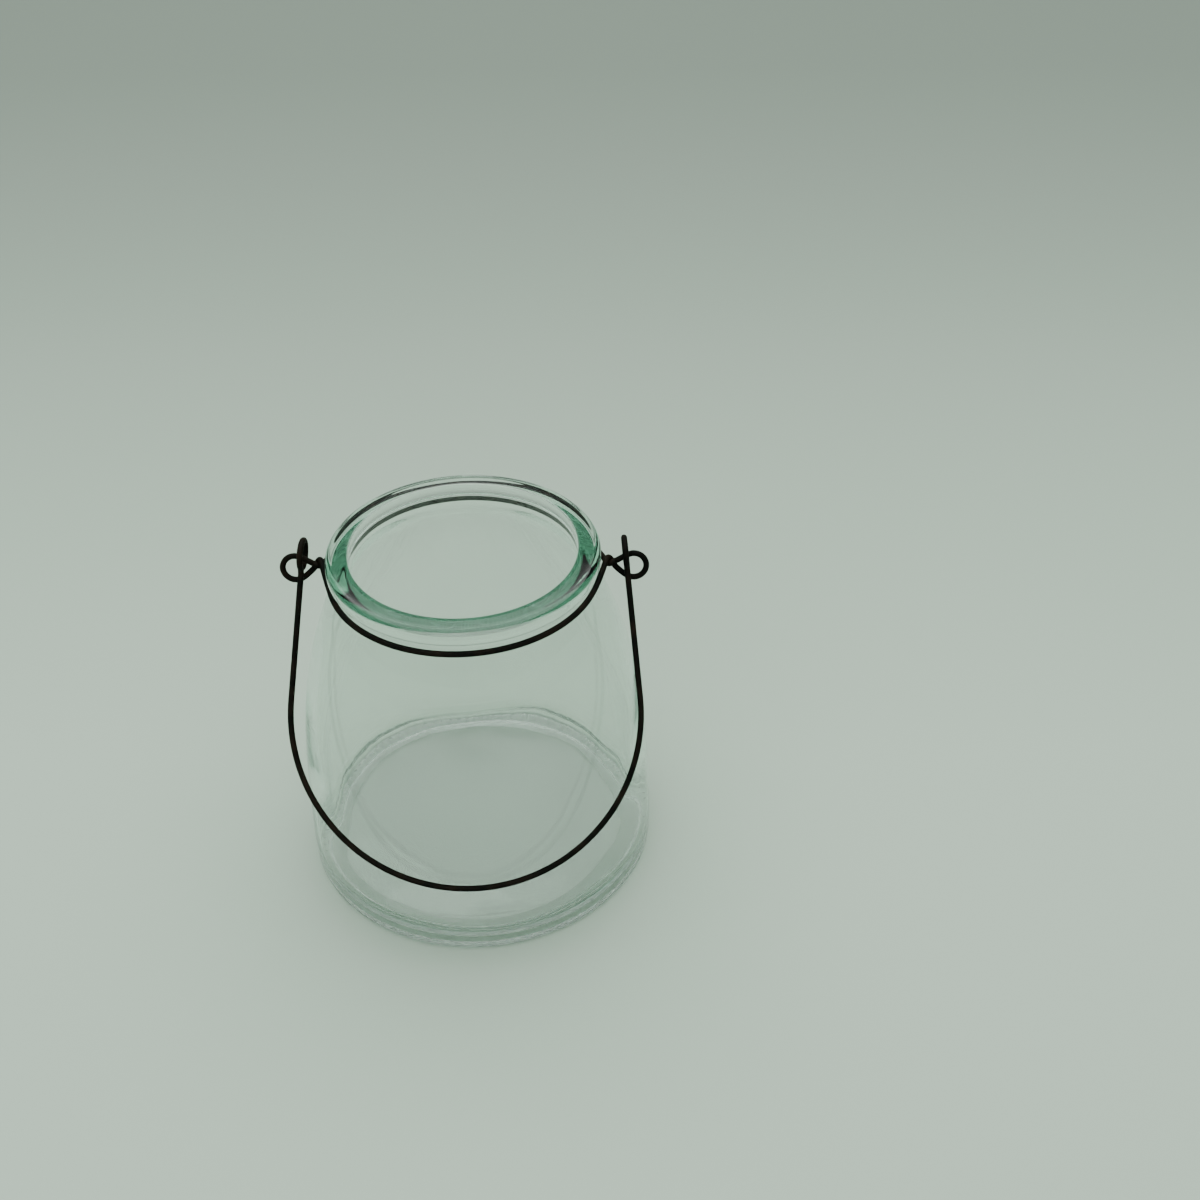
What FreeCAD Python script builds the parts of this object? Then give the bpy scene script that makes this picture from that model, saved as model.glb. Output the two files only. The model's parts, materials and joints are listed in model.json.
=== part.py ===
import FreeCAD, Part
import math
import os

# Glass jar lantern: a round glass jar with a rolled rim, a collar wire twisted round the neck
# into two side eyelets, and a wire bail whose closed eyes are linked through those eyelets.
# Millimetres. +Z up, origin at the centre of the foot ring, the bail rests against the -Y side.

# ---- glass jar ----
JAR_HEIGHT = 112.0
RIM_RADIUS = 40.0          # outside of the rolled rim
RIM_WIDTH = 6.7            # from the throat to the rim's outside
RIM_DEPTH = 5.6            # height of the rim, which is flat on top
RIM_ROUND = 2.0            # outer edges of the rim, above and below
LIP_ROUND = 0.6            # inner edge of the rim
RIM_FILLET = 0.8           # where the rim's underside meets the neck
NECK_RADIUS = 38.0
NECK_FOOT = 104.0          # height at which the neck turns into the shoulder
THROAT_FOOT = 104.5        # height at which the throat opens into the shoulder
WALL = 3.2                 # wall thickness at the foot
FLOOR_TOP = 5.2            # height of the inside floor
HEEL_RADIUS = 3.5          # inside corner between floor and wall
FOOT_CORNER = 2.5          # outside corner at the foot
FOOT_INNER = 48.6          # inside edge of the flat foot ring
RECESS_EDGE = 47.6         # the step above the foot ring ends here
RECESS_RISE = 2.0          # height of the underside at that edge
PUSH_UP = 2.6              # height of the underside at its centre
# the body: height above the foot, outside radius, wall thickness
BODY = ((8.0, 55.3, WALL), (18.0, 55.0, WALL), (28.0, 54.6, WALL), (45.0, 53.5, WALL), (58.0, 51.9, 3.2),
        (70.0, 49.6, 3.3), (82.0, 46.2, 3.6), (92.0, 42.7, 4.1), (99.0, 40.0, 4.7))

# ---- wires ----
WIRE = 1.6                 # diameter of both wires
COLLAR_HEIGHT = 105.0      # centre of both eyelets
HOOP_DROP = 0.75           # the hoop round the neck lies this far below that
KNOT_RISE = 1.8            # the crossing of the two halves sits this far above it
COLLAR_RADIUS = 39.4       # bend radius of each half of the hoop
COLLAR_SHIFT = 0.2         # each half is centred this far towards its own side
TWIST_START = 41.8         # where the two halves cross, from the jar's axis
TWIST_PITCH = 4.5
TWIST_RADIUS = 0.88        # from the twist's axis to each strand's centre
RING_CENTRE = 49.5         # eyelet centre, from the jar's axis
RING_RADIUS = 3.7          # to the wire's centre
RING_TILT = 15.0           # degrees the eyelets lean back from upright
RING_STATIONS = (-122.0, -92.0, -62.0, -31.0)   # points of the ring's lower half, in degrees
TWIST_STEPS = 4            # helix points from the crossing to the ring
# share of the run to the crossing, share of the strand's own rise, share of the climb to the knot
CLIMB = ((0.0, 0.0, 0.0), (0.35, 0.02, 0.12), (0.7, 0.42, 0.6))
EYELET_SPANS = 24          # arc pairs that follow one twist and its ring
EYE_CENTRE = 47.1          # bail eye, from the jar's mid-plane
EYE_RADIUS = 4.2           # to the wire's centre
EYE_RISE = 4.15            # from the eyelet's centre to the bail eye's centre, along the lean
EYE_NECK = 2.4             # bend radius between eye and leg
EYE_GAP = 1.7              # between the centres of the eye's cut end and the leg
BAIL_RADIUS = 51.3         # bend radius of the bail's bow
BAIL_LENGTH = 98.7         # from the pivot to the middle of the bow
REST_GAP = 0.3             # between the resting bail and the glass

# ---- derived ----
THROAT_RADIUS = RIM_RADIUS - RIM_WIDTH
WIRE_RADIUS = WIRE / 2.0
LEAN = math.radians(RING_TILT)
PIVOT_Y = EYE_RISE * math.sin(LEAN)
PIVOT_Z = COLLAR_HEIGHT + EYE_RISE * math.cos(LEAN)


def flat(radius, height):
    """A point of the jar's section, in the XZ plane."""
    return FreeCAD.Vector(radius, 0.0, height)


def line(start, end):
    return Part.LineSegment(start, end).toShape()


def arc(centre, radius, start_deg, end_deg, first, second):
    """Circular arc in the plane of the unit vectors first and second."""
    points = []
    for share in (0.0, 0.5, 1.0):
        angle = math.radians(start_deg + share * (end_deg - start_deg))
        points.append(centre + first * (radius * math.cos(angle)) + second * (radius * math.sin(angle)))
    return Part.Arc(*points).toShape()


def spline(points, start_tangent, end_tangent):
    curve = Part.BSplineCurve()
    curve.interpolate(Points=points, InitialTangent=start_tangent, FinalTangent=end_tangent)
    return curve.toShape()


def arc_from(start, tangent, end):
    """The circular arc that leaves start along tangent and ends at end."""
    chord = end - start
    normal = tangent.cross(chord).normalize()
    inward = normal.cross(tangent)
    radius = chord.dot(chord) / (2.0 * chord.dot(inward))
    centre = start + inward * radius
    towards_middle = ((start + end) * 0.5 - centre).normalize()
    return Part.Arc(start, centre + towards_middle * radius, end).toShape()


def arc_chain(curve, spans):
    """A free curve as a chain of tangent arcs, two to a span."""
    edges = []
    stations = [curve.Curve.parameter(point) for point in curve.discretize(Number=spans + 1)]
    for low, high in zip(stations, stations[1:]):
        start, end = curve.valueAt(low), curve.valueAt(high)
        leave, arrive = curve.tangentAt(low), curve.tangentAt(high)
        chord = end - start
        bend = 2.0 * (leave.dot(arrive) - 1.0)
        pull = chord.dot(leave + arrive)
        handle = (pull - math.sqrt(pull * pull - bend * chord.dot(chord))) / bend
        if handle < 0.0:
            handle = (pull + math.sqrt(pull * pull - bend * chord.dot(chord))) / bend
        first = start + leave * handle
        second = end - arrive * handle
        joint = (first + second) * 0.5
        edges.append(arc_from(start, leave, joint))
        edges.append(arc_from(joint, (second - first).normalize(), end))
    return edges


def pipe(path):
    """A solid wire of round section along a path of lines and tangent arcs."""
    first = path[0]
    start = first.valueAt(first.FirstParameter)
    section = Part.Wire([Part.makeCircle(WIRE_RADIUS, start, first.tangentAt(first.FirstParameter))])
    return Part.Wire(path).makePipe(Part.Face(section))


X = FreeCAD.Vector(1.0, 0.0, 0.0)
Z = FreeCAD.Vector(0.0, 0.0, 1.0)


def glass_jar():
    wall_foot = BODY[0][1]
    foot_edge = wall_foot - FOOT_CORNER
    rim_core = RIM_RADIUS - RIM_ROUND
    upper_round = JAR_HEIGHT - RIM_ROUND
    lower_round = JAR_HEIGHT - RIM_DEPTH + RIM_ROUND
    lip = flat(THROAT_RADIUS + LIP_ROUND, JAR_HEIGHT - LIP_ROUND)
    # fillet circle that touches the neck and the rim's lower round from outside
    fillet_out = NECK_RADIUS + RIM_FILLET - rim_core
    fillet_down = math.sqrt((RIM_ROUND + RIM_FILLET) ** 2 - fillet_out ** 2)
    fillet_centre = flat(NECK_RADIUS + RIM_FILLET, lower_round - fillet_down)
    fillet_turn = -math.degrees(math.atan2(fillet_down, fillet_out))
    neck_top = fillet_centre.z

    outside = [flat(wall_foot, FOOT_CORNER)]
    outside += [flat(radius, height) for height, radius, _ in BODY]
    outside.append(flat(NECK_RADIUS, NECK_FOOT))

    heel_top = FLOOR_TOP + HEEL_RADIUS
    heel_wall = wall_foot - WALL
    inside = [flat(THROAT_RADIUS, THROAT_FOOT)]
    inside += [flat(radius - wall, height) for height, radius, wall in reversed(BODY[1:])]
    inside.append(flat(heel_wall, heel_top))

    # the underside: a shallow dome inside a sloping step
    dome_rise = flat(RECESS_EDGE / 2.0, RECESS_RISE + (PUSH_UP - RECESS_RISE) * 0.75)
    edges = [
        Part.Arc(flat(0.0, PUSH_UP), dome_rise, flat(RECESS_EDGE, RECESS_RISE)).toShape(),
        line(flat(RECESS_EDGE, RECESS_RISE), flat(FOOT_INNER, 0.0)),
        line(flat(FOOT_INNER, 0.0), flat(foot_edge, 0.0)),
        arc(flat(foot_edge, FOOT_CORNER), FOOT_CORNER, -90.0, 0.0, X, Z),
        spline(outside, Z, Z),
        line(flat(NECK_RADIUS, NECK_FOOT), flat(NECK_RADIUS, neck_top)),
        arc(fillet_centre, RIM_FILLET, 180.0, 180.0 + fillet_turn, X, Z),
        arc(flat(rim_core, lower_round), RIM_ROUND, fillet_turn, 0.0, X, Z),
        line(flat(RIM_RADIUS, lower_round), flat(RIM_RADIUS, upper_round)),
        arc(flat(rim_core, upper_round), RIM_ROUND, 0.0, 90.0, X, Z),
        line(flat(rim_core, JAR_HEIGHT), flat(lip.x, JAR_HEIGHT)),
        arc(lip, LIP_ROUND, 90.0, 180.0, X, Z),
        line(flat(THROAT_RADIUS, lip.z), flat(THROAT_RADIUS, THROAT_FOOT)),
        spline(inside, -Z, -Z),
        arc(flat(heel_wall - HEEL_RADIUS, heel_top), HEEL_RADIUS, 0.0, -90.0, X, Z),
        line(flat(heel_wall - HEEL_RADIUS, FLOOR_TOP), flat(0.0, FLOOR_TOP)),
        line(flat(0.0, FLOOR_TOP), flat(0.0, PUSH_UP)),
    ]
    section = Part.Face(Part.Wire(Part.__sortEdges__(edges)))
    return section.revolve(FreeCAD.Vector(0.0, 0.0, 0.0), Z, 360.0)


def twist_height(point):
    """How far the eyelet's own axis lies above the ring's centre: it slopes down from the knot."""
    past = (point.x - TWIST_START) / (RING_CENTRE - RING_RADIUS - TWIST_START)
    share = min(max(past, 0.0), 1.0)
    return KNOT_RISE * (1.0 - share * share * (3.0 - 2.0 * share))


def eyelet_half():
    """Centres of the front strand: crossing, twist and lower half of the ring."""
    lean = FreeCAD.Vector(0.0, math.sin(LEAN), math.cos(LEAN))
    points = []
    for step in range(TWIST_STEPS + 1):
        turned = math.radians((180.0 + RING_TILT) * step / TWIST_STEPS)
        points.append(FreeCAD.Vector(TWIST_START + TWIST_PITCH * turned / (2.0 * math.pi),
                                     TWIST_RADIUS * math.sin(turned), TWIST_RADIUS * math.cos(turned)))
    ring = FreeCAD.Vector(RING_CENTRE, 0.0, 0.0)
    for angle in RING_STATIONS:
        bend = math.radians(angle)
        points.append(ring + X * (RING_RADIUS * math.cos(bend)) + lean * (RING_RADIUS * math.sin(bend)))
    return points


def neck_collar():
    hoop_height = COLLAR_HEIGHT - HOOP_DROP
    reach = math.hypot(TWIST_START, COLLAR_SHIFT)
    leave = math.acos(COLLAR_RADIUS / reach) - math.atan2(COLLAR_SHIFT, TWIST_START)
    tangent = FreeCAD.Vector(math.sin(leave), math.cos(leave), 0.0)
    left_off = FreeCAD.Vector(COLLAR_RADIUS * math.cos(leave),
                              -COLLAR_SHIFT - COLLAR_RADIUS * math.sin(leave), 0.0)
    run = FreeCAD.Vector(TWIST_START, 0.0, 0.0) - left_off
    # centres of the front strand about the eyelet's axis, and the height of that axis there
    strand = []
    for share, rise, climb in CLIMB:
        point = left_off + run * share + Z * (rise * TWIST_RADIUS)
        strand.append((point, hoop_height + climb * (HOOP_DROP + KNOT_RISE)))
    strand += [(point, COLLAR_HEIGHT + twist_height(point)) for point in eyelet_half()]
    lower = [point + Z * height for point, height in strand]
    tip = [FreeCAD.Vector(RING_CENTRE + RING_RADIUS, 0.0, COLLAR_HEIGHT)]
    upper = [FreeCAD.Vector(p.x, -p.y, height - p.z) for p, height in reversed(strand)]
    right = lower + tip + upper
    inward = FreeCAD.Vector(-tangent.x, tangent.y, 0.0)
    middle = FreeCAD.Vector(0.0, -COLLAR_SHIFT - COLLAR_RADIUS, hoop_height)
    quarter = math.radians(-90.0) + (math.radians(90.0) - leave) / 2.0
    knee = FreeCAD.Vector(COLLAR_RADIUS * math.cos(quarter),
                          -COLLAR_SHIFT + COLLAR_RADIUS * math.sin(quarter), hoop_height)
    # one side from the middle of the front, round the eyelet, to the middle of the back
    front = Part.Arc(middle, knee, right[0]).toShape()
    back = Part.Arc(right[-1], FreeCAD.Vector(knee.x, -knee.y, knee.z),
                    FreeCAD.Vector(0.0, -middle.y, middle.z)).toShape()
    side = pipe([front] + arc_chain(spline(right, tangent, inward), EYELET_SPANS) + [back])
    return side.fuse(side.mirror(FreeCAD.Vector(0.0, 0.0, 0.0), X)).removeSplitter()


def bail():
    # the middle of the bow clears the body's third station, where it comes to rest, by REST_GAP
    reach = BODY[2][1] + WIRE_RADIUS + REST_GAP + PIVOT_Y
    swing = math.asin(reach / BAIL_LENGTH)
    down = FreeCAD.Vector(0.0, -math.sin(swing), -math.cos(swing))
    out = FreeCAD.Vector(0.0, -math.cos(swing), math.sin(swing))
    bow_centre = FreeCAD.Vector(0.0, PIVOT_Y, PIVOT_Z) + down * (BAIL_LENGTH - BAIL_RADIUS)
    eye = FreeCAD.Vector(EYE_CENTRE, PIVOT_Y, PIVOT_Z)
    # the leg runs from the eye's centre to a tangent point on the bow
    span = bow_centre - eye
    drop = span.dot(down)
    distance = math.hypot(EYE_CENTRE, drop)
    splay = math.asin(BAIL_RADIUS / distance) - math.atan2(EYE_CENTRE, drop)
    leg = X * math.sin(splay) + down * math.cos(splay)
    touch = bow_centre + X * (BAIL_RADIUS * math.cos(splay)) - down * (BAIL_RADIUS * math.sin(splay))
    neck_run = math.sqrt((EYE_RADIUS + EYE_NECK) ** 2 - EYE_NECK ** 2)
    neck_turn = math.degrees(math.atan2(EYE_NECK, neck_run))
    cut = -math.degrees(math.asin(EYE_GAP / EYE_RADIUS))
    neck_centre = eye + leg * neck_run + out * EYE_NECK
    half = [
        arc(eye, EYE_RADIUS, cut, neck_turn - 360.0, leg, out),
        arc(neck_centre, EYE_NECK, neck_turn + 180.0, 270.0, leg, out),
        line(eye + leg * neck_run, touch),
    ]
    mirrored = []
    for edge in half:
        mirrored.append(edge.mirror(FreeCAD.Vector(0.0, 0.0, 0.0), X))
    other = FreeCAD.Vector(-touch.x, touch.y, touch.z)
    bow = Part.Arc(touch, bow_centre + down * BAIL_RADIUS, other).toShape()
    return pipe(Part.__sortEdges__(half + [bow] + mirrored))


PARTS = {"glass_jar": glass_jar, "neck_collar": neck_collar, "bail": bail}

os.makedirs("parts", exist_ok=True)
for node, build in PARTS.items():
    shape = build()
    if not shape.isValid() or len(shape.Solids) != 1:
        raise RuntimeError(node + " is not one valid solid")
    shape.exportStep("parts/" + node + ".step")
    print(node, round(shape.Volume, 1), shape.BoundBox)
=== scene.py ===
import json
import math

import bpy
from mathutils import Matrix, Vector, noise
from mathutils.bvhtree import BVHTree


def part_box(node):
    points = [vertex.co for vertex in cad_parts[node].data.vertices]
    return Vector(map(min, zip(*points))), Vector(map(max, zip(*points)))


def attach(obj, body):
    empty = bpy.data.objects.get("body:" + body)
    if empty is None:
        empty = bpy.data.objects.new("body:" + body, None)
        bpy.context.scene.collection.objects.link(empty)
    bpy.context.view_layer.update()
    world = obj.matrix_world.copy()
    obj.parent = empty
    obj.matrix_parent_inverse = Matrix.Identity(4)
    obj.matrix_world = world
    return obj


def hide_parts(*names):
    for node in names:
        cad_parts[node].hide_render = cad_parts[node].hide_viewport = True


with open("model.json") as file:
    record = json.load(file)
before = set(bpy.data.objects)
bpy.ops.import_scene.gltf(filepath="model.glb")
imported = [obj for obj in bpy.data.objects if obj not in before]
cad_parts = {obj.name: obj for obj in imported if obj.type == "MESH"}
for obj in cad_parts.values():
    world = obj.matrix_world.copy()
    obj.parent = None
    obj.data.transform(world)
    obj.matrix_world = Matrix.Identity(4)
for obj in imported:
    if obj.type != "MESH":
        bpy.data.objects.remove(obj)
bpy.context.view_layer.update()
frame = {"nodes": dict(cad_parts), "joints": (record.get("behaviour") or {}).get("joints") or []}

# A glass jar lantern: a pressed glass jar, a wire collar twisted into an eyelet at each side,
# and a wire bail linked through the eyelets. Metres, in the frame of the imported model.

MM = 0.001

# ---- camera ----
CAMERA_PLACE = Vector((39.56, -354.61, 363.2)) * MM
CAMERA_DIP = math.radians(37.39)      # below the horizon
CAMERA_ROLL = math.radians(-0.49)
CAMERA_LENS = 44.95                   # for a 36 mm sensor

# ---- glass ----
BODY_STATIONS = (18, 28, 45, 58, 70, 82, 92, 99)   # heights at which the wall's radius is read, mm
RIM_DEPTH = 5.6 * MM
RIM_ROUND = 2.0 * MM
LIP_ROUND = 0.6 * MM
RIM_FILLET = 0.8 * MM
FOOT_CORNER = 2.5 * MM
FOOT_INNER = 48.6 * MM                # inside edge of the flat foot ring
RECESS_EDGE = 47.6 * MM               # where the step above the foot ring meets the dome
RECESS_RISE = 2.0 * MM
PUSH_UP = 2.6 * MM
HEEL_RADIUS = 3.5 * MM
HEEL_TOP = 8.7 * MM
WALL = 3.2 * MM
SCUFF_EDGE = (0.0435, 0.0455)         # m: the scuffing sets in between these radii
SCUFF_HEIGHTS = (0.0022, 0.0030)      # m: full below the first, none above the second
SCUFF_ROUGHNESS = 0.6

# ---- wires ----
WIRE_RADIUS = 0.8 * MM
COAT = 0.08 * MM                      # taken thickness of the black coating over the bare wire


def joint_place(name):
    for joint in frame["joints"]:
        if joint["name"] == name:
            return Vector(joint.get("pos_m", (0.0, 0.0, 0.0)))
    raise KeyError(name)


# ------------------------------------------------------------------ mesh helpers

def mesh_object(name, points, faces, material, smooth=True):
    mesh = bpy.data.meshes.new(name)
    mesh.from_pydata([tuple(p) for p in points], [], faces)
    mesh.validate()
    mesh.update()
    if smooth:
        mesh.polygons.foreach_set("use_smooth", [True] * len(mesh.polygons))
    mesh.materials.append(material)
    piece = bpy.data.objects.new(name, mesh)
    bpy.context.scene.collection.objects.link(piece)
    return piece


def arc_points(centre, radius, start, end, steps):
    """Points of an arc in the section plane, angles in degrees, both ends included."""
    points = []
    for step in range(steps + 1):
        angle = math.radians(start + (end - start) * step / steps)
        points.append((centre[0] + radius * math.cos(angle), centre[1] + radius * math.sin(angle)))
    return points


def smooth_through(stations, per_span):
    """A cubic spline through (height, radius) stations, upright at both ends, as (radius, height)."""
    count = len(stations)
    heights = [h for h, _ in stations]
    radii = [r for _, r in stations]
    # slopes d radius / d height that make the second derivative continuous
    low = [0.0] * count
    mid = [1.0] * count
    high = [0.0] * count
    right = [0.0] * count
    for i in range(1, count - 1):
        before = heights[i] - heights[i - 1]
        after = heights[i + 1] - heights[i]
        low[i] = 1.0 / before
        high[i] = 1.0 / after
        mid[i] = 2.0 * (low[i] + high[i])
        right[i] = 3.0 * ((radii[i] - radii[i - 1]) / before ** 2 + (radii[i + 1] - radii[i]) / after ** 2)
    for i in range(1, count):
        share = low[i] / mid[i - 1]
        mid[i] -= share * high[i - 1]
        right[i] -= share * right[i - 1]
    slopes = [0.0] * count
    for i in reversed(range(count)):
        above = slopes[i + 1] * high[i] if i + 1 < count else 0.0
        slopes[i] = (right[i] - above) / mid[i]
    points = []
    for i in range(count - 1):
        span = heights[i + 1] - heights[i]
        for step in range(per_span):
            t = step / per_span
            a = (1 + 2 * t) * (1 - t) ** 2
            b = t * (1 - t) ** 2 * span
            c = t * t * (3 - 2 * t)
            d = t * t * (t - 1) * span
            radius = a * radii[i] + b * slopes[i] + c * radii[i + 1] + d * slopes[i + 1]
            points.append((radius, heights[i] + t * span))
    points.append((radii[-1], heights[-1]))
    return points


def tube(name, centres, radius, material, closed=False, sides=20):
    """A round wire along a line of points; the section turns as little as it can."""
    count = len(centres)
    ahead = []
    for i in range(count):
        if closed:
            step = centres[(i + 1) % count] - centres[i - 1]
        else:
            step = centres[min(i + 1, count - 1)] - centres[max(i - 1, 0)]
        ahead.append(step.normalized())
    side = ahead[0].orthogonal().normalized()
    sides_at = [side]
    for i in range(1, count):
        side = ahead[i - 1].rotation_difference(ahead[i]) @ side
        side = (side - ahead[i] * side.dot(ahead[i])).normalized()
        sides_at.append(side)
    residual = 0.0
    if closed:
        last = ahead[-1].rotation_difference(ahead[0]) @ side
        up = ahead[0].cross(sides_at[0])
        residual = math.atan2(last.dot(up), last.dot(sides_at[0]))
    points = []
    lengths = [0.0]
    for i in range(1, count):
        lengths.append(lengths[-1] + (centres[i] - centres[i - 1]).length)
    for i in range(count):
        up = ahead[i].cross(sides_at[i])
        turn_back = -residual * i / count
        along = lengths[i] / MM
        for k in range(sides):
            angle = 2.0 * math.pi * k / sides + turn_back
            out = sides_at[i] * math.cos(angle) + up * math.sin(angle)
            rough = noise.noise(Vector((along * 0.35, math.cos(angle), math.sin(angle) + len(name))))
            points.append(centres[i] + out * radius * (1.0 + 0.025 * rough))
    faces = []
    for i in range(count if closed else count - 1):
        j = (i + 1) % count
        for k in range(sides):
            m = (k + 1) % sides
            faces.append((i * sides + k, i * sides + m, j * sides + m, j * sides + k))
    if not closed:
        # cut ends: a small bevel, then a flat face
        for end, out in ((0, -1.0), (count - 1, 1.0)):
            first = len(points)
            for k in range(sides):
                corner = points[end * sides + k]
                rim = centres[end] + (corner - centres[end]) * 0.86 + ahead[end] * out * radius * 0.12
                points.append(rim)
            points.append(centres[end] + ahead[end] * out * radius * 0.14)
            for k in range(sides):
                m = (k + 1) % sides
                quad = (end * sides + k, end * sides + m, first + m, first + k)
                fan = (first + k, first + m, first + sides)
                faces.append(quad if out > 0 else quad[::-1])
                faces.append(fan if out > 0 else fan[::-1])
    piece = mesh_object(name, points, faces, material)
    return piece


def even_line(control, spacing, closed=False):
    """A smooth line through control points (centripetal Catmull-Rom), resampled evenly."""
    count = len(control)
    fine = []
    spans = count if closed else count - 1
    for i in range(spans):
        if closed:
            p = [control[(i + k) % count] for k in (-1, 0, 1, 2)]
        else:
            p = [control[min(max(i + k, 0), count - 1)] for k in (-1, 0, 1, 2)]
            if i == 0:
                p[0] = p[1] * 2.0 - p[2]
            if i == count - 2:
                p[3] = p[2] * 2.0 - p[1]
        knots = [0.0]
        for a, b in zip(p, p[1:]):
            knots.append(knots[-1] + max((b - a).length, 1e-9) ** 0.5)
        steps = max(2, int((p[2] - p[1]).length / (spacing * 0.5)))
        for step in range(steps):
            t = knots[1] + (knots[2] - knots[1]) * step / steps
            low = [p[k].lerp(p[k + 1], (t - knots[k]) / (knots[k + 1] - knots[k])) for k in range(3)]
            mid = [low[k].lerp(low[k + 1], (t - knots[k]) / (knots[k + 2] - knots[k])) for k in range(2)]
            fine.append(mid[0].lerp(mid[1], (t - knots[1]) / (knots[2] - knots[1])))
    if not closed:
        fine.append(control[-1].copy())
    ring = fine + ([fine[0]] if closed else [])
    total = sum((b - a).length for a, b in zip(ring, ring[1:]))
    pieces = max(2, round(total / spacing))
    wanted = [total * k / pieces for k in range(pieces if closed else pieces + 1)]
    even = []
    walked = 0.0
    index = 0
    for target in wanted:
        while index < len(ring) - 2 and walked + (ring[index + 1] - ring[index]).length < target:
            walked += (ring[index + 1] - ring[index]).length
            index += 1
        step = (ring[index + 1] - ring[index]).length
        even.append(ring[index].lerp(ring[index + 1], (target - walked) / max(step, 1e-12)))
    return even


# ------------------------------------------------------------------ materials

def new_material(name):
    material = bpy.data.materials.new(name)
    material.use_nodes = True
    nodes = material.node_tree.nodes
    nodes.clear()
    output = nodes.new("ShaderNodeOutputMaterial")
    shader = nodes.new("ShaderNodeBsdfPrincipled")
    material.node_tree.links.new(shader.outputs["BSDF"], output.inputs["Surface"])
    return material, shader, output


def add(material, kind, **values):
    """A node with its socket values or properties set by name."""
    node = material.node_tree.nodes.new(kind)
    for key, value in values.items():
        label = key.replace("_", " ")
        if label in node.inputs:
            node.inputs[label].default_value = value
        else:
            setattr(node, key, value)
    return node


def link(material, source, socket, target, name):
    material.node_tree.links.new(source.outputs[socket], target.inputs[name])


def noise_of(material, coordinates, scale, detail=3.0, roughness=0.5):
    texture = add(material, "ShaderNodeTexNoise", Scale=scale, Detail=detail, Roughness=roughness)
    link(material, coordinates, "Object", texture, "Vector")
    return texture


def mapped(material, source, socket, low, high, to_low, to_high):
    node = add(material, "ShaderNodeMapRange", From_Min=low, From_Max=high, To_Min=to_low, To_Max=to_high)
    link(material, source, socket, node, "Value")
    return node


def glass_material():
    material, shader, output = new_material("green_tinted_glass")
    shader.inputs["Base Color"].default_value = (0.975, 1.0, 0.98, 1.0)
    shader.inputs["Transmission Weight"].default_value = 1.0
    shader.inputs["IOR"].default_value = 1.51
    place = add(material, "ShaderNodeTexCoord")
    # a faint film of handling marks
    film = noise_of(material, place, 55.0, 5.0, 0.6)
    haze = mapped(material, film, "Fac", 0.45, 0.75, 0.0, 0.035)
    # the foot ring is taken as scuffed where the jar stands on it
    split = add(material, "ShaderNodeSeparateXYZ")
    link(material, place, "Object", split, "Vector")
    scuffed = mapped(material, split, "Z", *SCUFF_HEIGHTS, SCUFF_ROUGHNESS, 0.0)
    reach = add(material, "ShaderNodeVectorMath", operation="LENGTH")
    link(material, place, "Object", reach, "Vector")
    on_ring = mapped(material, reach, "Value", *SCUFF_EDGE, 0.0, 1.0)
    rough = add(material, "ShaderNodeMath", operation="MULTIPLY_ADD")
    for slot, part in enumerate((scuffed, on_ring, haze)):
        material.node_tree.links.new(part.outputs["Result"], rough.inputs[slot])
    link(material, rough, "Value", shader, "Roughness")
    # slow waves left by the mould, and fine orange peel
    waves = noise_of(material, place, 90.0, 2.0, 0.4)
    peel = noise_of(material, place, 700.0, 2.0, 0.5)
    slow = add(material, "ShaderNodeBump", Strength=0.35, Distance=0.00012)
    link(material, waves, "Fac", slow, "Height")
    fine = add(material, "ShaderNodeBump", Strength=0.05, Distance=0.00001)
    link(material, peel, "Fac", fine, "Height")
    link(material, slow, "Normal", fine, "Normal")
    link(material, fine, "Normal", shader, "Normal")
    tint = add(material, "ShaderNodeVolumeAbsorption", Color=(0.40, 0.86, 0.70, 1.0), Density=14.0)
    link(material, tint, "Volume", output, "Volume")
    return material


def wire_material():
    material, shader, _ = new_material("black_iron_wire")
    place = add(material, "ShaderNodeTexCoord")
    patches = noise_of(material, place, 160.0, 4.0, 0.55)
    specks = noise_of(material, place, 1500.0, 3.0, 0.6)
    worn = mapped(material, patches, "Fac", 0.42, 0.66, 0.0, 1.0)
    colour = add(material, "ShaderNodeMix", data_type="RGBA")
    colour.inputs["A"].default_value = (0.0035, 0.0040, 0.0028, 1.0)
    colour.inputs["B"].default_value = (0.0140, 0.0095, 0.0060, 1.0)
    link(material, worn, "Result", colour, "Factor")
    material.node_tree.links.new(colour.outputs["Result"], shader.inputs["Base Color"])
    shader.inputs["Metallic"].default_value = 0.0
    shader.inputs["Specular IOR Level"].default_value = 0.06
    rough = mapped(material, specks, "Fac", 0.3, 0.7, 0.5, 0.75)
    link(material, rough, "Result", shader, "Roughness")
    bump = add(material, "ShaderNodeBump", Strength=0.5, Distance=0.00004)
    link(material, specks, "Fac", bump, "Height")
    link(material, bump, "Normal", shader, "Normal")
    return material


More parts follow.
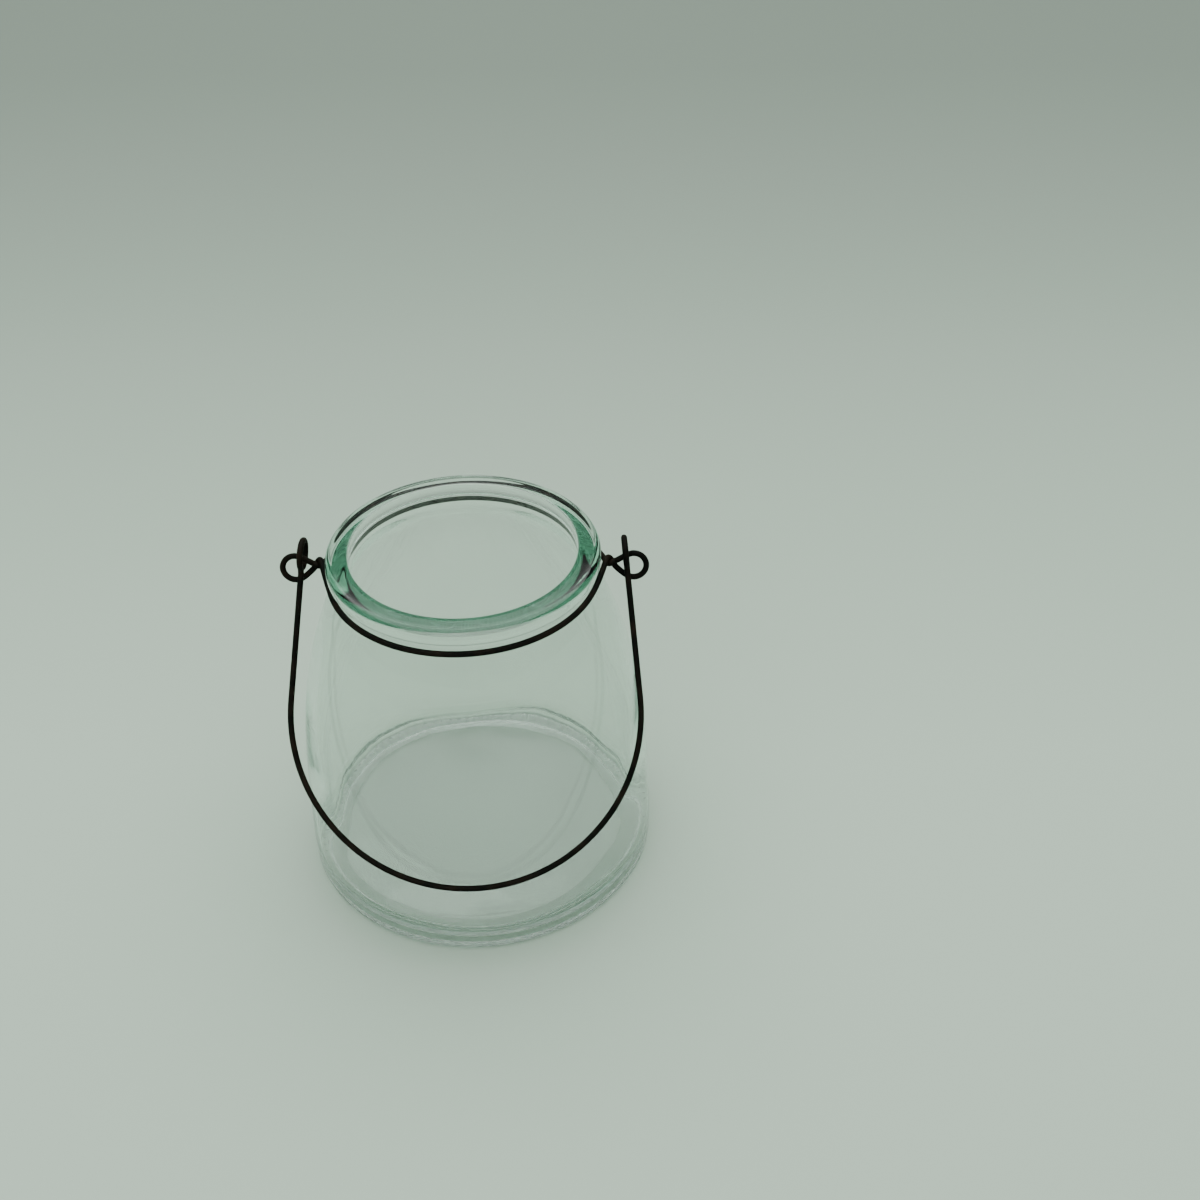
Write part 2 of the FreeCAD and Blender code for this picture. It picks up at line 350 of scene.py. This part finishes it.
def floor_material():
    material, shader, _ = new_material("pale_floor")
    place = add(material, "ShaderNodeTexCoord")
    mottle = noise_of(material, place, 6.0, 3.0, 0.5)
    colour = add(material, "ShaderNodeMix", data_type="RGBA")
    colour.inputs["A"].default_value = (0.470, 0.590, 0.490, 1.0)
    colour.inputs["B"].default_value = (0.485, 0.602, 0.505, 1.0)
    link(material, mottle, "Fac", colour, "Factor")
    # painted shade: the colour turns darker and greyer towards the back and up the backdrop, standing in
    # for the lamps' light falling off there
    split = add(material, "ShaderNodeSeparateXYZ")
    link(material, place, "Object", split, "Vector")
    painted_shade_to_back = mapped(material, split, "Y", 0.03, 0.60, 0.0, 1.0)
    painted_shade_mix = add(material, "ShaderNodeMix", data_type="RGBA")
    painted_shade_mix.inputs["B"].default_value = (0.27, 0.325, 0.28, 1.0)
    link(material, painted_shade_to_back, "Result", painted_shade_mix, "Factor")
    material.node_tree.links.new(colour.outputs["Result"], painted_shade_mix.inputs["A"])
    material.node_tree.links.new(painted_shade_mix.outputs["Result"], shader.inputs["Base Color"])
    shader.inputs["Roughness"].default_value = 0.75
    shader.inputs["Specular IOR Level"].default_value = 0.2
    return material


GLASS = glass_material()
WIRE = wire_material()


# ------------------------------------------------------------------ glass jar

def jar_reader():
    """Reads the wall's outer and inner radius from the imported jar."""
    mesh = frame["nodes"]["glass_jar"].data
    tree = BVHTree.FromPolygons([v.co for v in mesh.vertices], [p.vertices for p in mesh.polygons])
    far = 0.2
    nudge = math.radians(0.37)   # off any edge of the mesh

    def radius(height, inside):
        across = Vector((math.cos(nudge), math.sin(nudge), 0.0))
        level = Vector((0.0, 0.0, height))
        if inside:
            hit = tree.ray_cast(level, across)[0]
        else:
            hit = tree.ray_cast(level + across * far, -across)[0]
        return math.hypot(hit.x, hit.y)

    return radius


RIDGES = 96                  # stipples round the foot ring
RIDGE_POINTS = 5


def jar_profile():
    """The jar's section as (radius, height, region), from the underside's centre round to the floor's."""
    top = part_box("glass_jar")[1].z
    radius = jar_reader()
    upper_round = top - RIM_ROUND
    lower_round = top - RIM_DEPTH + RIM_ROUND
    middle = (upper_round + lower_round) / 2.0
    rim = radius(middle, False)
    rim_core = rim - RIM_ROUND
    throat = radius(middle, True)
    neck = radius(top - RIM_DEPTH - RIM_FILLET - 0.6 * MM, False)
    fillet_out = neck + RIM_FILLET - rim_core
    fillet_down = math.sqrt((RIM_ROUND + RIM_FILLET) ** 2 - fillet_out ** 2)
    fillet_turn = -math.degrees(math.atan2(fillet_down, fillet_out))
    neck_foot = top - 8.0 * MM
    throat_foot = top - 7.5 * MM
    foot = radius(8.0 * MM, False)

    def region(points, name):
        return [(r, h, name) for r, h in points]

    dome = []
    for k in range(10):
        share = k / 10.0
        dome.append((RECESS_EDGE * share, PUSH_UP - (PUSH_UP - RECESS_RISE) * share ** 2))
    slope = []
    for k in range(9):
        share = k / 9.0
        slope.append((RECESS_EDGE + (FOOT_INNER - RECESS_EDGE) * share,
                      RECESS_RISE * (1.0 - share * share * (3.0 - 2.0 * share))))
    dome += slope
    ring = [(FOOT_INNER + (foot - FOOT_CORNER - FOOT_INNER) * k / 6.0, 0.0) for k in range(7)]
    corner = arc_points((foot - FOOT_CORNER, FOOT_CORNER), FOOT_CORNER, -90.0, 0.0, 8)[1:]
    stations = [(FOOT_CORNER, foot), (8.0 * MM, foot)]
    stations += [(h * MM, radius(h * MM, False)) for h in BODY_STATIONS]
    stations.append((neck_foot, neck))
    outside = smooth_through(stations, 7)[1:]
    fillet = arc_points((neck + RIM_FILLET, lower_round - fillet_down), RIM_FILLET, 180.0,
                        180.0 + fillet_turn, 5)
    edge = arc_points((rim_core, lower_round), RIM_ROUND, fillet_turn, 0.0, 10)[1:]
    edge += arc_points((rim_core, upper_round), RIM_ROUND, 0.0, 90.0, 12)
    lip = throat + LIP_ROUND
    edge += [(rim_core + (lip - rim_core) * share, top) for share in (0.25, 0.5, 0.75)]
    edge += arc_points((lip, top - LIP_ROUND), LIP_ROUND, 90.0, 180.0, 6)
    edge += [(throat, lower_round + (top - LIP_ROUND - lower_round) * share) for share in (0.67, 0.33)]
    heel_wall = foot - WALL
    floor_top = HEEL_TOP - HEEL_RADIUS
    within = [(HEEL_TOP, heel_wall)]
    within += [(h * MM, radius(h * MM, True)) for h in BODY_STATIONS]
    within.append((throat_foot, throat))
    inside = smooth_through(within, 7)[::-1]
    heel = arc_points((heel_wall - HEEL_RADIUS, HEEL_TOP), HEEL_RADIUS, 0.0, -90.0, 12)[1:]
    floor_edge = heel_wall - HEEL_RADIUS
    floor = [(floor_edge * (1.0 - k / 14.0), floor_top) for k in range(1, 14)]
    profile = region(dome, "dome") + region(ring, "ring") + region(corner, "foot")
    profile += region(outside, "outside") + region(fillet, "neck") + region(edge, "rim")
    profile += region(inside, "inside")
    profile += region(heel, "heel") + region(floor, "floor")
    return profile, floor_top


def ease(low, high, value):
    t = min(max((value - low) / (high - low), 0.0), 1.0)
    return t * t * (3.0 - 2.0 * t)


def shape_glass(radius, height, region, angle):
    """The slight unevenness of pressed glass: the inside wanders more than the outside."""
    turn = Vector((math.cos(angle), math.sin(angle), 0.0))
    r, h = radius, height
    if region in ("outside", "foot"):
        fade = ease(1.0 * MM, 12.0 * MM, height) * (1.0 - ease(90.0 * MM, 103.0 * MM, height))
        r += fade * 0.10 * MM * noise.noise(turn * 1.6 + Vector((3.1, 0.0, height / MM * 0.05)))
    if region in ("inside", "heel"):
        fade = 1.0 - ease(88.0 * MM, 101.0 * MM, height)
        low = 1.0 - ease(9.0 * MM, 45.0 * MM, height)
        sides = math.cos(5.0 * (angle - math.radians(63.0))) + 0.4 * math.cos(3.0 * angle + 0.7)
        wander = noise.noise(turn * 1.9 + Vector((0.0, 7.7, height / MM * 0.045)))
        r += fade * (0.35 * MM * wander + low * 0.75 * MM * sides)
    if region in ("floor", "heel"):
        flat = 1.0 - ease(5.5 * MM, 9.0 * MM, height)
        spot = Vector((radius * turn.x, radius * turn.y, 0.0)) / MM
        h += flat * 0.28 * MM * noise.noise(spot * 0.055 + Vector((0.0, 0.0, 5.5)))
        h += flat * 0.35 * MM * (1.0 - min(radius / (30.0 * MM), 1.0) ** 2)
    if region == "ring":
        across = (radius - FOOT_INNER) / (4.2 * MM)
        band = max(0.0, 1.0 - (2.0 * across - 1.0) ** 4) if 0.0 <= across <= 1.0 else 0.0
        groove = 0.5 - 0.5 * math.cos(angle * RIDGES)
        uneven = 0.75 + 0.5 * noise.noise(turn * 9.0)
        h += 0.45 * MM * uneven * groove * band
    return r * turn.x, r * turn.y, h


def glass_jar():
    profile, floor_top = jar_profile()
    around = RIDGES * RIDGE_POINTS
    points = []
    faces = []
    rings = profile[1:]
    for radius, height, region in rings:
        for k in range(around):
            points.append(shape_glass(radius, height, region, 2.0 * math.pi * k / around))
    for i in range(len(rings) - 1):
        for k in range(around):
            m = (k + 1) % around
            faces.append((i * around + k, i * around + m, (i + 1) * around + m, (i + 1) * around + k))
    under = len(points)
    points.append((0.0, 0.0, profile[0][1]))
    above = len(points)
    points.append(shape_glass(0.0, floor_top, "floor", 0.0))
    last = (len(rings) - 1) * around
    for k in range(around):
        m = (k + 1) % around
        faces.append((under, m, k))
        faces.append((above, last + k, last + m))
    piece = mesh_object("pressed_glass_jar", points, faces, GLASS)
    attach(piece, "jar")
    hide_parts("glass_jar")
    return piece


# ------------------------------------------------------------------ collar wire

TWIST_START = 41.8 * MM
TWIST_PITCH = 4.5 * MM
TWIST_RADIUS = 0.88 * MM
RING_RADIUS = 3.7 * MM
LEAN = math.radians(15.0)
COLLAR_SHIFT = 0.2 * MM
HOOP_DROP = 0.75 * MM
KNOT_RISE = 1.8 * MM
SPACING = 0.35 * MM


def collar_side():
    """The front strand of one side: points about the eyelet's axis, each with that axis's height there."""
    _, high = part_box("neck_collar")
    bend = high.y - COLLAR_SHIFT - WIRE_RADIUS
    ring_centre = Vector((high.x - WIRE_RADIUS - RING_RADIUS, 0.0, 0.0))
    reach = math.hypot(TWIST_START, COLLAR_SHIFT)
    leave = math.acos(bend / reach) - math.atan2(COLLAR_SHIFT, TWIST_START)
    control = []
    for step in range(14):
        angle = math.radians(-90.0) + (math.radians(90.0) - leave) * step / 13.0
        point = Vector((bend * math.cos(angle), -COLLAR_SHIFT + bend * math.sin(angle), 0.0))
        control.append((point, -HOOP_DROP))
    off = control[-1][0]
    run = Vector((TWIST_START, 0.0, 0.0)) - off
    for share, rise, climb in ((0.35, 0.02, 0.12), (0.7, 0.42, 0.6)):
        point = off + run * share + Vector((0.0, 0.0, rise * TWIST_RADIUS))
        control.append((point, climb * (HOOP_DROP + KNOT_RISE) - HOOP_DROP))
    ring_start = ring_centre.x - RING_RADIUS
    for step in range(7):
        turned = (math.pi + LEAN) * step / 6.0
        point = Vector((TWIST_START + TWIST_PITCH * turned / (2.0 * math.pi),
                        TWIST_RADIUS * math.sin(turned), TWIST_RADIUS * math.cos(turned)))
        control.append((point, KNOT_RISE * (1.0 - ease(TWIST_START, ring_start, point.x))))
    up = Vector((0.0, math.sin(LEAN), math.cos(LEAN)))
    for degrees in (-122.0, -92.0, -62.0, -31.0):
        angle = math.radians(degrees)
        point = (ring_centre + Vector((1.0, 0.0, 0.0)) * (RING_RADIUS * math.cos(angle))
                 + up * (RING_RADIUS * math.sin(angle)))
        control.append((point, 0.0))
    tip = ring_centre + Vector((RING_RADIUS, 0.0, 0.0))
    return control, tip


def neck_collar():
    low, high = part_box("neck_collar")
    lift = Vector((0.0, 0.0, (low.z + high.z) / 2.0))
    strand, tip = collar_side()
    right = [Vector((p.x, p.y, height + p.z)) for p, height in strand] + [tip]
    right += [Vector((p.x, -p.y, height - p.z)) for p, height in reversed(strand)]
    left = [Vector((-p.x, p.y, p.z)) for p in reversed(right)]
    loop = right + left[1:-1]
    line = even_line([p + lift for p in loop], SPACING, closed=True)
    piece = tube("collar_wire", line, WIRE_RADIUS + COAT, WIRE, closed=True)
    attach(piece, "collar")
    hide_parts("neck_collar")
    return piece


# ------------------------------------------------------------------ bail

EYE_CENTRE = 47.1 * MM
EYE_RADIUS = 4.2 * MM
EYE_NECK = 2.4 * MM
EYE_GAP = 1.7 * MM
BAIL_RADIUS = 51.3 * MM
BAIL_LENGTH = 98.7 * MM


def bail():
    pivot = joint_place("bail_swing")
    low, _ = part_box("bail")
    # the bow's middle is the lowest stretch of the wire
    swing = math.asin((pivot.y - (low.y + WIRE_RADIUS)) / BAIL_LENGTH)
    down = Vector((0.0, -math.sin(swing), -math.cos(swing)))
    out = Vector((0.0, -math.cos(swing), math.sin(swing)))
    across = Vector((1.0, 0.0, 0.0))
    bow_centre = pivot + down * (BAIL_LENGTH - BAIL_RADIUS)
    eye = Vector((EYE_CENTRE, pivot.y, pivot.z))
    span = bow_centre - eye
    drop = span.dot(down)
    splay = math.asin(BAIL_RADIUS / math.hypot(EYE_CENTRE, drop)) - math.atan2(EYE_CENTRE, drop)
    leg = across * math.sin(splay) + down * math.cos(splay)
    neck_run = math.sqrt((EYE_RADIUS + EYE_NECK) ** 2 - EYE_NECK ** 2)
    neck_turn = math.atan2(EYE_NECK, neck_run)
    cut = -math.asin(EYE_GAP / EYE_RADIUS)
    neck_centre = eye + leg * neck_run + out * EYE_NECK
    half = []
    turns = 26
    for step in range(turns + 1):
        angle = cut + (neck_turn - 2.0 * math.pi - cut) * step / turns
        half.append(eye + leg * (EYE_RADIUS * math.cos(angle)) + out * (EYE_RADIUS * math.sin(angle)))
    for step in range(1, 5):
        angle = neck_turn + math.pi + (math.pi / 2.0 - neck_turn) * step / 4
        half.append(neck_centre + leg * (EYE_NECK * math.cos(angle)) + out * (EYE_NECK * math.sin(angle)))
    touch = bow_centre + across * (BAIL_RADIUS * math.cos(splay)) - down * (BAIL_RADIUS * math.sin(splay))
    foot = eye + leg * neck_run
    for step in range(1, 9):
        half.append(foot.lerp(touch, step / 8.0))
    for step in range(1, 25):
        angle = -splay + (math.pi / 2.0 + splay) * step / 24.0
        half.append(bow_centre + across * (BAIL_RADIUS * math.cos(angle))
                    + down * (BAIL_RADIUS * math.sin(angle)))
    other = [Vector((-p.x, p.y, p.z)) for p in reversed(half[:-1])]
    line = even_line(half + other, SPACING)
    piece = tube("bail_wire", line, WIRE_RADIUS + COAT, WIRE)
    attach(piece, "bail")
    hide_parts("bail")
    return piece


glass_jar()
neck_collar()
bail()


# ------------------------------------------------------------------ studio

def studio():
    """A pale floor that curves up into a backdrop, well behind the object."""
    half_width = 3.0
    front = -1.6
    fold = 0.36
    sweep = 0.55
    wall_top = 0.60
    gap = -0.04 * MM             # the stippled foot touches only at its high points
    section = [(front, gap), (-0.4, gap), (0.0, gap), (fold, gap)]
    for step in range(1, 25):
        angle = math.radians(90.0 * step / 24.0)
        section.append((fold + sweep * math.sin(angle), gap + sweep * (1.0 - math.cos(angle))))
    section.append((fold + sweep, wall_top))
    points = []
    faces = []
    for y, z in section:
        points += [(-half_width, y, z), (half_width, y, z)]
    for i in range(len(section) - 1):
        faces.append((2 * i, 2 * i + 1, 2 * i + 3, 2 * i + 2))
    floor = mesh_object("floor", points, faces, floor_material())


def area_light(name, place, target, size, power, colour):
    data = bpy.data.lights.new(name, "AREA")
    data.shape = "RECTANGLE"
    data.size, data.size_y = size
    data.energy = power
    data.color = colour
    lamp = bpy.data.objects.new(name, data)
    lamp.location = place
    lamp.rotation_euler = (Vector(target) - Vector(place)).to_track_quat("-Z", "Y").to_euler()
    bpy.context.scene.collection.objects.link(lamp)


# the room's colours, and the upward or backward part of a direction between which one gives way to the next
HORIZON = (0.22, 0.27, 0.23, 1.0)
DIM = (0.09, 0.11, 0.10, 1.0)
BRIGHT = (1.15, 1.23, 1.17, 1.0)
WINDOW = (2.55, 2.70, 2.60, 1.0)
HORIZON_TO_DIM = (0.10, 0.24)
DIM_TO_BRIGHT = (0.58, 0.65)
WINDOW_BEHIND = (0.35, 0.60)


def lighting():
    """A broad lamp overhead, a fill in front, and a room that is bright above, most of all at the back."""
    white = (0.99, 1.0, 0.98)
    area_light("overhead", (0.04, 0.22, 1.25), (0.0, 0.03, 0.0), (2.0, 1.3), 11.0, white)
    area_light("front", (-0.35, -0.85, 0.80), (0.0, 0.0, 0.0), (1.0, 0.6), 2.5, white)
    room()


def room():
    """Dim at the height of the object and bright above, with a window's worth more at the back."""
    world = bpy.data.worlds.new("studio")
    world.use_nodes = True
    tree = world.node_tree
    sky = tree.nodes["Background"]
    sky.inputs["Strength"].default_value = 1.0
    place = tree.nodes.new("ShaderNodeTexCoord")
    split = tree.nodes.new("ShaderNodeSeparateXYZ")
    tree.links.new(place.outputs["Generated"], split.inputs["Vector"])

    def ramp(axis, low, high):
        node = tree.nodes.new("ShaderNodeMapRange")
        node.inputs["From Min"].default_value = low
        node.inputs["From Max"].default_value = high
        tree.links.new(split.outputs[axis], node.inputs["Value"])
        return node

    def blend(first, second, share):
        """From first, a colour or another blend, to the colour second."""
        node = tree.nodes.new("ShaderNodeMix")
        node.data_type = "RGBA"
        if isinstance(first, tuple):
            node.inputs["A"].default_value = first
        else:
            tree.links.new(first.outputs["Result"], node.inputs["A"])
        node.inputs["B"].default_value = second
        tree.links.new(share.outputs[0], node.inputs["Factor"])
        return node

    above = ramp("Z", *DIM_TO_BRIGHT)
    behind = ramp("Y", *WINDOW_BEHIND)
    window = tree.nodes.new("ShaderNodeMath")
    window.operation = "MULTIPLY"
    tree.links.new(above.outputs["Result"], window.inputs[0])
    tree.links.new(behind.outputs["Result"], window.inputs[1])
    low = blend(HORIZON, DIM, ramp("Z", *HORIZON_TO_DIM))
    walls = blend(low, BRIGHT, above)
    lit = blend(walls, WINDOW, window)
    tree.links.new(lit.outputs["Result"], sky.inputs["Color"])
    bpy.context.scene.world = world


def light_paths():
    """Thick glass guides light through many inner reflections, so long paths are kept."""
    cycles = bpy.context.scene.cycles
    cycles.max_bounces = 32
    cycles.glossy_bounces = 24
    cycles.transmission_bounces = 32


def camera():
    data = bpy.data.cameras.new("camera")
    data.lens = CAMERA_LENS
    data.sensor_width = 36.0
    data.clip_start = 0.01
    data.clip_end = 20.0
    eye = bpy.data.objects.new("camera", data)
    tilt = Matrix.Rotation(math.pi / 2.0 - CAMERA_DIP, 4, "X")
    eye.matrix_world = Matrix.Translation(CAMERA_PLACE) @ tilt @ Matrix.Rotation(CAMERA_ROLL, 4, "Z")
    bpy.context.scene.collection.objects.link(eye)
    bpy.context.scene.camera = eye


studio()
lighting()
light_paths()
camera()
